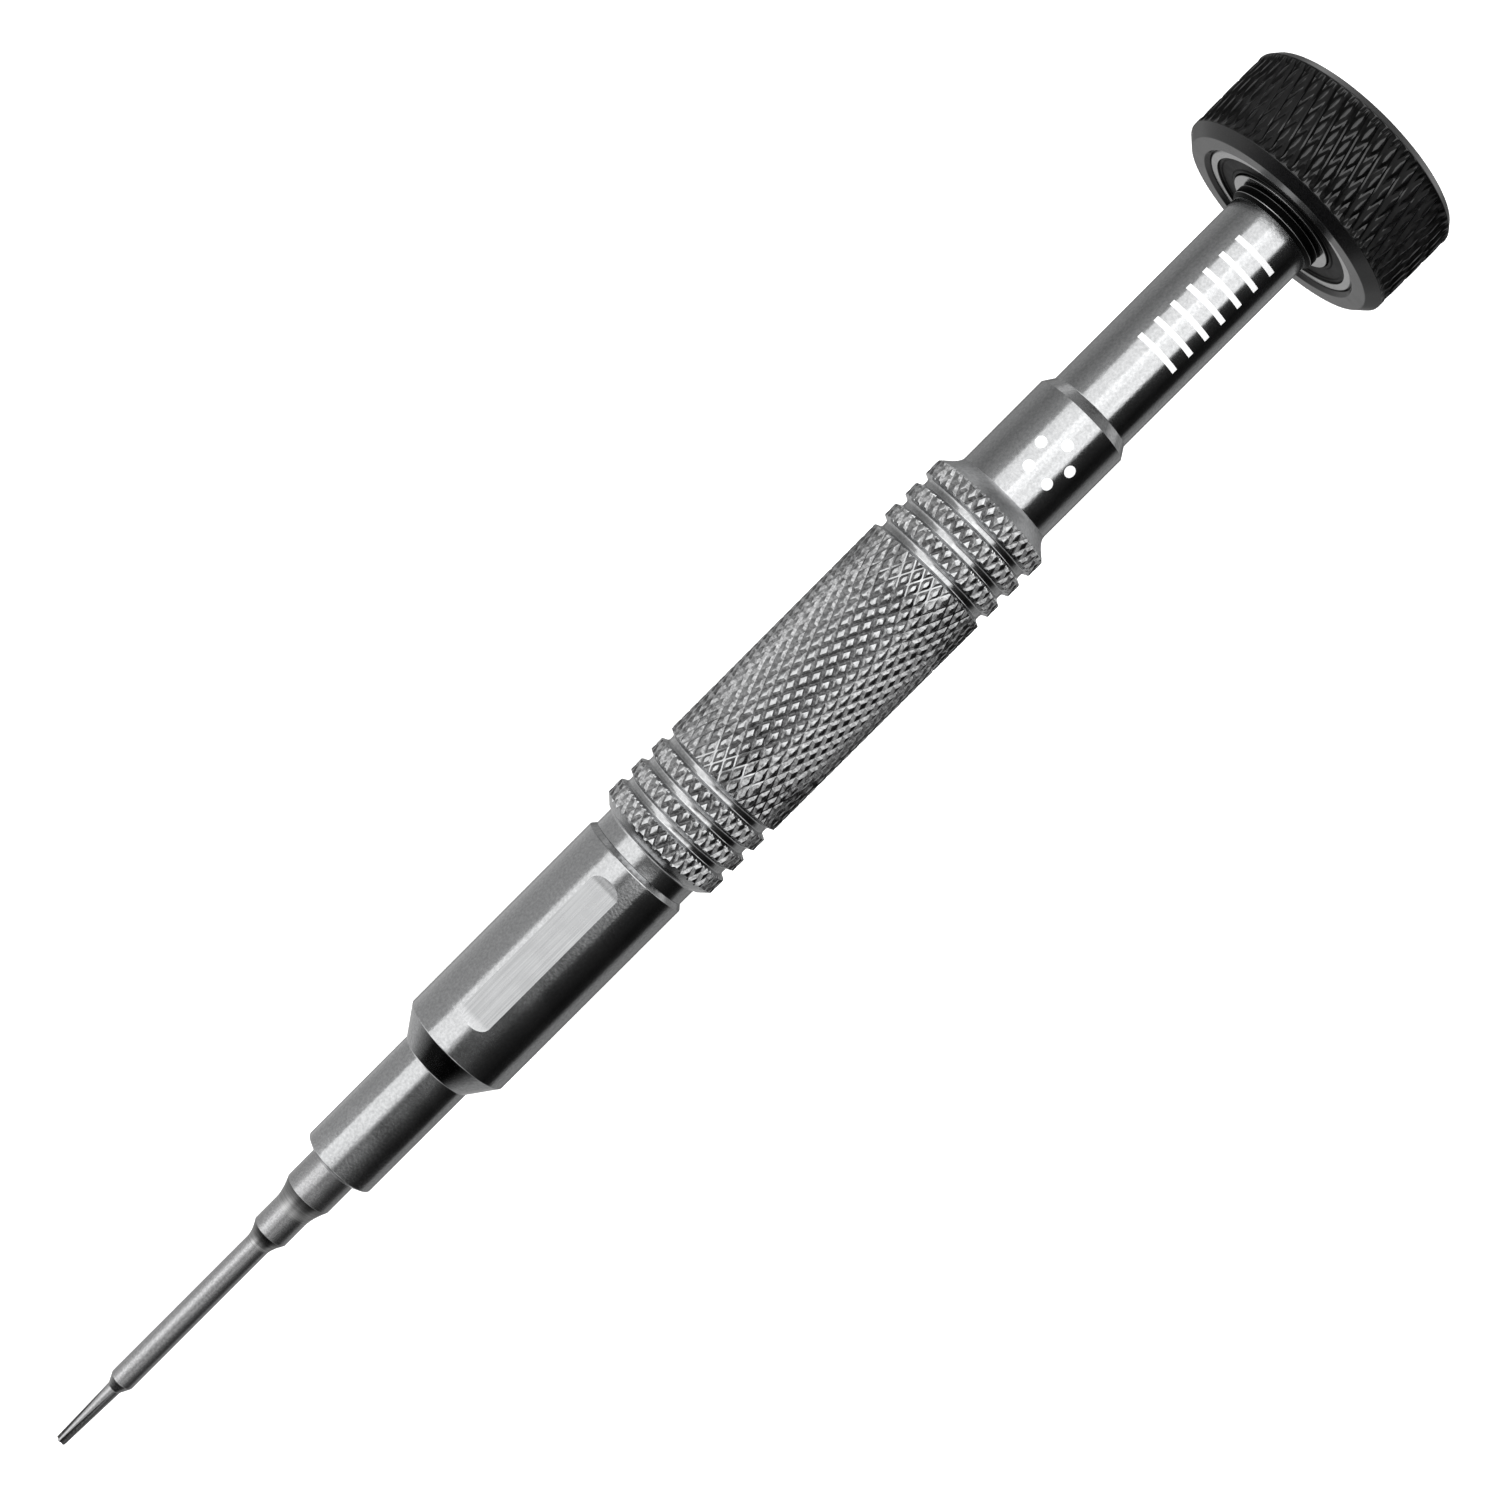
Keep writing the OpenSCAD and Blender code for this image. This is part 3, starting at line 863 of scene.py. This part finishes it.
def bumped(tree, shader, value, height):
    """Raises the surface by up to this many millimetres, by the value."""
    bump = tree.nodes.new("ShaderNodeBump")
    bump.inputs["Strength"].default_value = 1
    bump.inputs["Distance"].default_value = height * MM
    tree.links.new(value, bump.inputs["Height"])
    tree.links.new(bump.outputs["Normal"], shader.inputs["Normal"])


def grained(tree, shader, greys, roughness, grain, grain_height, wear_size, stretch=(1, 1, 1)):
    """A fine grain in the shader's colour and surface, and coarser wear in its roughness."""
    fine = noise(tree, grain, stretch=stretch)
    wear = noise(tree, wear_size, detail=4)
    tree.links.new(shaded(tree, fine, *greys), shader.inputs["Base Color"])
    tree.links.new(mapped(tree, wear, *NOISE_SPREAD, *roughness), shader.inputs["Roughness"])
    bumped(tree, shader, fine, grain_height)


def metal(name, greys, roughness, grain, grain_height, stretch=(1, 1, 1)):
    material, tree, shader = new_material(name, greys[1], 1, roughness[0])
    grained(tree, shader, greys, roughness, grain, grain_height, wear_size=grain * 12, stretch=stretch)
    return material


def handle_metal(name):
    greys = ((0.46, 0.465, 0.47), (0.6, 0.605, 0.61))
    return metal(name, greys, (0.12, 0.18), grain=0.2, grain_height=0.0042)


def knurled_metal_painted_shade():
    """The rougher metal of the knurling's grooves, darkened by painted shade."""
    greys = ((0.16, 0.16, 0.162), (0.46, 0.462, 0.465))
    return metal("handle_knurled_painted_shade", greys, (0.18, 0.28), grain=0.2, grain_height=0.009)


def satin_metal():
    """The matt metal of the slope between the grip and the collar."""
    greys = ((0.36, 0.364, 0.37), (0.5, 0.505, 0.51))
    return metal("handle_satin", greys, (0.42, 0.52), grain=0.2, grain_height=0.004)


def milled_metal():
    """Bare metal with long tool marks along the flat."""
    greys = ((0.44, 0.445, 0.45), (0.56, 0.565, 0.57))
    along = (1, 1, 60)
    return metal("handle_milled", greys, (0.22, 0.3), grain=0.1, grain_height=0.0015, stretch=along)


def blade_steel():
    greys = ((0.4, 0.4, 0.405), (0.53, 0.53, 0.535))
    return metal("blade_steel_turned", greys, (0.19, 0.27), grain=0.14, grain_height=0.004)


def flute_painted_shade():
    """Near-black steel inside the tip's flutes: painted shade in their hollows."""
    greys = ((0.02, 0.02, 0.02), (0.1, 0.1, 0.1))
    return metal("blade_flutes_painted_shade", greys, (0.3, 0.4), grain=0.14, grain_height=0.004)


def shoulder_steel_painted_shade(name, z0, z1):
    """The blade's steel on a shoulder from z0 to z1: turning marks go round it, and painted shade darkens
    it upwards towards the shoulder's corner.
    """
    greys = ((0.38, 0.38, 0.38), (0.55, 0.55, 0.55))
    painted_shade_darkest = 0.4
    material, tree, shader = new_material(name, (0.5, 0.5, 0.5), 1, 0.24)
    marks = noise(tree, 0.1, stretch=(40, 40, 1))
    place = tree.nodes.new("ShaderNodeTexCoord")
    parts = tree.nodes.new("ShaderNodeSeparateXYZ")
    fading = tree.nodes.new("ShaderNodeVectorMath")
    fading.operation = "SCALE"
    tree.links.new(place.outputs["Object"], parts.inputs["Vector"])
    # Painted shade: the colour darkens from z0 up to z1
    painted_shade_fade = mapped(tree, parts.outputs["Z"], z0 * MM, z1 * MM, 1, painted_shade_darkest)
    tree.links.new(shaded(tree, marks, *greys), fading.inputs["Vector"])
    tree.links.new(painted_shade_fade, fading.inputs["Scale"])
    tree.links.new(fading.outputs["Vector"], shader.inputs["Base Color"])
    bumped(tree, shader, marks, 0.002)
    return material


def bearing_metal(name):
    greys = ((0.36, 0.36, 0.36), (0.46, 0.46, 0.46))
    return metal(name, greys, (0.14, 0.24), grain=0.1, grain_height=0.0008)


def black_finish(name, greys, roughness, gloss, grain, grain_height):
    """A black finish whose light is nearly all gloss."""
    material, tree, shader = new_material(name, greys[0], 0, roughness[0])
    shader.inputs["Specular IOR Level"].default_value = gloss
    grained(tree, shader, greys, roughness, grain, grain_height, wear_size=grain * 8)
    return material


def shield_black():
    greys = ((0.002, 0.002, 0.002), (0.005, 0.005, 0.005))
    return black_finish("shield_black", greys, (0.3, 0.4), gloss=0.05, grain=0.15, grain_height=0.004)


def cap_metal():
    greys = ((0.005, 0.005, 0.0053), (0.012, 0.012, 0.0125))
    return black_finish("cap_anodised", greys, (0.14, 0.24), gloss=0.7, grain=0.14, grain_height=0.003)


def cap_grooves_painted_shade():
    """The rougher black of the knurling's grooves, with painted shade: a darker colour and weaker gloss."""
    greys = ((0.001, 0.001, 0.001), (0.004, 0.004, 0.004))
    return black_finish("cap_knurled_painted_shade", greys, (0.25, 0.4), gloss=0.16, grain=0.3, grain_height=0.02)


def etched_fill_with_painted_glow():
    """The white, matt finish that fills an etched mark, and a painted glow that brightens it."""
    material, tree, shader = new_material("handle_etched_painted_glow", (0.95, 0.95, 0.95), 0, 0.6)
    grain = noise(tree, 0.12)
    whites = ((0.86, 0.86, 0.87), (0.96, 0.96, 0.97))
    tree.links.new(shaded(tree, grain, *whites), shader.inputs["Base Color"])
    bumped(tree, shader, grain, 0.003)
    # Painted light: the fill glows white, though it is no lamp
    shader.inputs["Emission Color"].default_value = (1, 1, 1, 1)
    shader.inputs["Emission Strength"].default_value = 0.45
    return material


def inner_metal(name, grey):
    """Plain metal for the pieces inside, which stay as the frame has them."""
    dark = [0.8 * part for part in grey]
    return metal(name, (dark, grey), (0.2, 0.35), grain=0.1, grain_height=0.001)


def dress_inner_pieces():
    """New materials on the frame's own meshes of the pieces that stay as they are."""
    screws = ("blade_set_screw", "joining_stud", "stem_set_screw", "axle_screw")
    cage = ("bearing_cage_lower", "bearing_cage_upper", "bearing_cage_rivets")
    looks = (
        (inner_metal("screws_blackened", (0.12, 0.12, 0.125)), screws),
        (inner_metal("steel_polished", (0.6, 0.6, 0.61)), ("retaining_washer", "bearing_balls")),
        (inner_metal("cage_pressed", (0.5, 0.47, 0.42)), cage),
    )
    for material, nodes in looks:
        for node in nodes:
            for slot in frame["nodes"][node].material_slots:
                slot.material = material


# ---- Room, light and camera ----

CAMERA_BACK = 158
CAMERA_Z = 76.5
CAMERA_DIP = 2.97  # degrees below level
LENS = 55.51
SENSOR_W = 36
AXIS_OFFSET = -0.09  # the camera's place beside the tool's axis

# In metres
FLOOR_Z = -0.4
FLOOR_R = 0.6
SWEEP_R = 0.3
WALL_TOP = 2.4
ROOM_COLUMNS = 96


def pale_room():
    """A pale floor far enough below the tool to look at it from underneath, that sweeps up into a wall."""
    outline = [(FLOOR_R * k / 4, FLOOR_Z) for k in range(1, 5)]
    outline += [
        (FLOOR_R + SWEEP_R * sin(a), FLOOR_Z + SWEEP_R * (1 - cos(a)))
        for a in np.linspace(0, pi / 2, STEPS + 1)[1:]
    ]
    outline.append((FLOOR_R + SWEEP_R, WALL_TOP))
    angles = np.arange(ROOM_COLUMNS) * 2 * pi / ROOM_COLUMNS
    points = [(0, 0, FLOOR_Z)]
    for r, z in outline:
        points += [(r * cos(a), r * sin(a), z) for a in angles]
    faces = [(0, 1 + j, 1 + (j + 1) % ROOM_COLUMNS) for j in range(ROOM_COLUMNS)]
    for i in range(len(outline) - 1):
        first = 1 + i * ROOM_COLUMNS
        for j in range(ROOM_COLUMNS):
            a, b = first + j, first + (j + 1) % ROOM_COLUMNS
            faces.append((a, a + ROOM_COLUMNS, b + ROOM_COLUMNS, b))
    mesh = bpy.data.meshes.new("pale_room")
    mesh.from_pydata(points, [], faces)
    mesh.shade_smooth()
    room = bpy.data.objects.new("pale_room", mesh)
    bpy.context.scene.collection.objects.link(room)
    material, tree, shader = new_material("pale_paper", (0.9, 0.9, 0.9), 0, 0.9)
    shader.inputs["Emission Color"].default_value = (1, 1, 1, 1)
    shader.inputs["Emission Strength"].default_value = 0.75
    mesh.materials.append(material)
    room.visible_diffuse = False
    room.visible_glossy = False
    room.visible_transmission = False
    room.visible_shadow = False


def feed(tree, sockets, values):
    """Gives each socket its value, which is a number or the output of a node."""
    for socket, value in zip(sockets, values):
        if isinstance(value, (int, float)):
            socket.default_value = value
        else:
            tree.links.new(value, socket)


def world_math(tree, operation, *values):
    """One step of arithmetic between sockets and numbers."""
    step = tree.nodes.new("ShaderNodeMath")
    step.operation = operation
    feed(tree, step.inputs, values)
    return step.outputs[0]


def world_mix(tree, factor, first, second):
    """First where the factor is 0, second where it is 1."""
    mixed = tree.nodes.new("ShaderNodeMix")
    feed(tree, (mixed.inputs[0], mixed.inputs[2], mixed.inputs[3]), (factor, first, second))
    return mixed.outputs[0]


def world_ramp(tree, value, stops):
    """Light by bearing: the value is a share of a full turn, stops are (degrees, brightness)."""
    ramp = tree.nodes.new("ShaderNodeValToRGB")
    tree.links.new(value, ramp.inputs["Fac"])
    elements = ramp.color_ramp.elements
    while len(elements) < len(stops):
        elements.new(0.5)
    for element, (bearing, level) in zip(elements, stops):
        element.position = (bearing + 180) / 360
        element.color = (level, level, level, 1)
    return ramp.outputs["Color"]


LIGHT = 1.75
# Brightness by bearing in degrees from the camera's side, towards +X: first from above, then from below
ROOM_HIGH = (
    (-180, 0.24), (-170, 0.16), (-162, 0.1), (-148, 0.19), (-130, 0.2), (-110, 0.17), (-90, 0.13),
    (-70, 0.16), (-58, 0.2), (-44, 0.24), (-4, 0.1), (16, 0.05), (44, 0.03), (60, 0.015), (84, 0.004),
    (106, 0.008), (118, 0.13), (146, 0.2), (160, 0.08), (170, 0.14), (180, 0.24),
)
ROOM_LOW = (
    (-180, 0.36), (-170, 0.26), (-160, 0.18), (-146, 0.33), (-130, 0.28), (-110, 0.24), (-80, 0.24),
    (-64, 0.25), (-50, 0.3), (-8, 0.08), (4, 0.05), (30, 0.045), (44, 0.025), (64, 0.012), (90, 0.004),
    (108, 0.008), (120, 0.16), (145, 0.17), (160, 0.1), (170, 0.2), (180, 0.36),
)
# The same for light from well below, which the blade mirrors
ROOM_FOOT = (
    (-180, 0.3), (-112, 0.31), (-84, 0.38), (-64, 0.56), (-48, 0.86), (-34, 0.8), (-16, 0.38), (0, 0.24),
    (16, 0.34), (34, 0.2), (50, 0.09), (80, 0.02), (98, 0.05), (114, 0.18), (150, 0.2), (180, 0.3),
)
SIDE_PANEL = ((-90, 0), (-60, 0.5), (95, 0.65), (130, 0))
LEFT_PANEL = ((-70, 0.85), (-42, 0.75), (-30, 0.78), (-16, 0.82), (-9, 0.75), (-3, 0.25), (3, 0))
MIDDLE_PANEL = ((-9, 0), (-4, 0.85), (0, 1), (6, 0.92), (12, 0))
RIGHT_PANEL = ((5, 0), (11, 0.85), (20, 0.84), (34, 0.92), (41, 0.85), (46, 0))
LEFT_EDGE = ((-45, 0), (-40, 1))
LEFT_EDGE_LEAN = 13  # how far the left panel's edge moves left for light from below
# Heights of the light's direction between which one pattern gives way to the next
LOW_GATE = (0.04, -0.06)
FOOT_GATE = (-0.302, -0.312)
MIDDLE_GATE = (-0.05, 0.05)
MIDDLE_LEAST = 0.08  # what is left of the middle panel below its gate
RIGHT_GATE = (-0.17, 0)
SIDE_START = (0.48, 0.56)  # for the side panel, the height up or down
SIDE_END = (0.78, 0.7)
SIDE_DIM = (-0.3, 0.3)
SIDE_LEAST = 0.25  # what is left of the side panel well below
CEILING_GATE = (0.66, 0.84)
CEILING_DEPTH = (0, 0.5)  # how far a direction points away from the camera while the ceiling brightens
CEILING_LEVEL = (0.15, 0.85)
FLOOR_GATE = (-0.72, -0.95)
FLOOR_LEAST = 0.004


def window_light(tree, share, z, below):
    """The window's left panel, and its middle and right panels together."""
    leant = world_math(tree, "MULTIPLY_ADD", below, LEFT_EDGE_LEAN / 360, share)
    left_edge = world_ramp(tree, leant, LEFT_EDGE)
    left = world_math(tree, "MULTIPLY", left_edge, world_ramp(tree, share, LEFT_PANEL))
    middle_gate = mapped(tree, z, *MIDDLE_GATE, MIDDLE_LEAST, 1)
    middle = world_math(tree, "MULTIPLY", middle_gate, world_ramp(tree, share, MIDDLE_PANEL))
    right_gate = mapped(tree, z, *RIGHT_GATE)
    right = world_math(tree, "MULTIPLY", right_gate, world_ramp(tree, share, RIGHT_PANEL))
    return left, world_math(tree, "ADD", middle, right)


def side_light(tree, share, z):
    """Light from well above and, weaker, from well below, which only sloping faces mirror."""
    steep = world_math(tree, "ABSOLUTE", z)
    start, end = mapped(tree, steep, *SIDE_START), mapped(tree, steep, *SIDE_END)
    gate = world_math(tree, "MULTIPLY", start, end)
    level = world_math(tree, "MULTIPLY", gate, mapped(tree, z, *SIDE_DIM, SIDE_LEAST, 1))
    return world_math(tree, "MULTIPLY", level, world_ramp(tree, share, SIDE_PANEL))


def studio_light():
    """Soft light by direction: window panels behind the camera, a dark side to their right, grey elsewhere,
    a softer pattern from well below, a dark floor and a bright ceiling beyond the tool."""
    world = bpy.data.worlds.new("studio")
    bpy.context.scene.world = world
    world.use_nodes = True
    tree = world.node_tree
    place = tree.nodes.new("ShaderNodeTexCoord")
    parts = tree.nodes.new("ShaderNodeSeparateXYZ")
    tree.links.new(place.outputs["Generated"], parts.inputs["Vector"])
    x, y, z = parts.outputs
    bearing = world_math(tree, "ARCTAN2", x, world_math(tree, "MULTIPLY", y, -1))
    share = world_math(tree, "MULTIPLY_ADD", bearing, 1 / (2 * pi), 0.5)
    below = mapped(tree, z, *LOW_GATE)
    room = world_mix(tree, below, world_ramp(tree, share, ROOM_HIGH), world_ramp(tree, share, ROOM_LOW))
    left, upper = window_light(tree, share, z, below)
    side = side_light(tree, share, z)
    panels = world_math(tree, "ADD", left, world_math(tree, "MAXIMUM", upper, side))
    level = world_math(tree, "MAXIMUM", room, panels)
    foot = world_math(tree, "ADD", world_ramp(tree, share, ROOM_FOOT), side)
    around = world_mix(tree, mapped(tree, z, *FOOT_GATE), level, foot)
    ceiling = mapped(tree, y, *CEILING_DEPTH, *CEILING_LEVEL)
    with_ceiling = world_mix(tree, mapped(tree, z, *CEILING_GATE), around, ceiling)
    floor = mapped(tree, z, *FLOOR_GATE, 1, FLOOR_LEAST)
    with_floor = world_math(tree, "MULTIPLY", with_ceiling, floor)
    background = tree.nodes["Background"]
    tree.links.new(with_floor, background.inputs["Color"])
    background.inputs["Strength"].default_value = LIGHT


def make_camera():
    """The camera looks slightly down, and is rolled so that the tool lies across the picture."""
    camera = bpy.data.objects.new("camera", bpy.data.cameras.new("camera"))
    bpy.context.scene.collection.objects.link(camera)
    dip = radians(CAMERA_DIP)
    forward = Vector((0, cos(dip), -sin(dip)))
    axis_up = Vector((0, sin(dip), cos(dip)))
    side = Vector((1, 0, 0))
    right, up = (axis_up + side).normalized(), (axis_up - side).normalized()
    turn = Matrix((right, up, -forward)).transposed()
    place = Vector((AXIS_OFFSET, -CAMERA_BACK, CAMERA_Z)) * MM
    camera.matrix_world = Matrix.Translation(place) @ turn.to_4x4()
    camera.data.lens = LENS
    camera.data.sensor_width = SENSOR_W
    camera.data.clip_start = 0.001
    bpy.context.scene.camera = camera


make_blade()
make_barrel()
make_grip()
make_stem()
make_spacer()
make_marks()
make_outer_ring()
make_inner_ring()
make_shield("bearing_shield_lower", -1)
make_shield("bearing_shield_upper", 1)
make_cap()
dress_inner_pieces()
pale_room()
studio_light()
make_camera()
bpy.context.scene.view_settings.view_transform = "Standard"
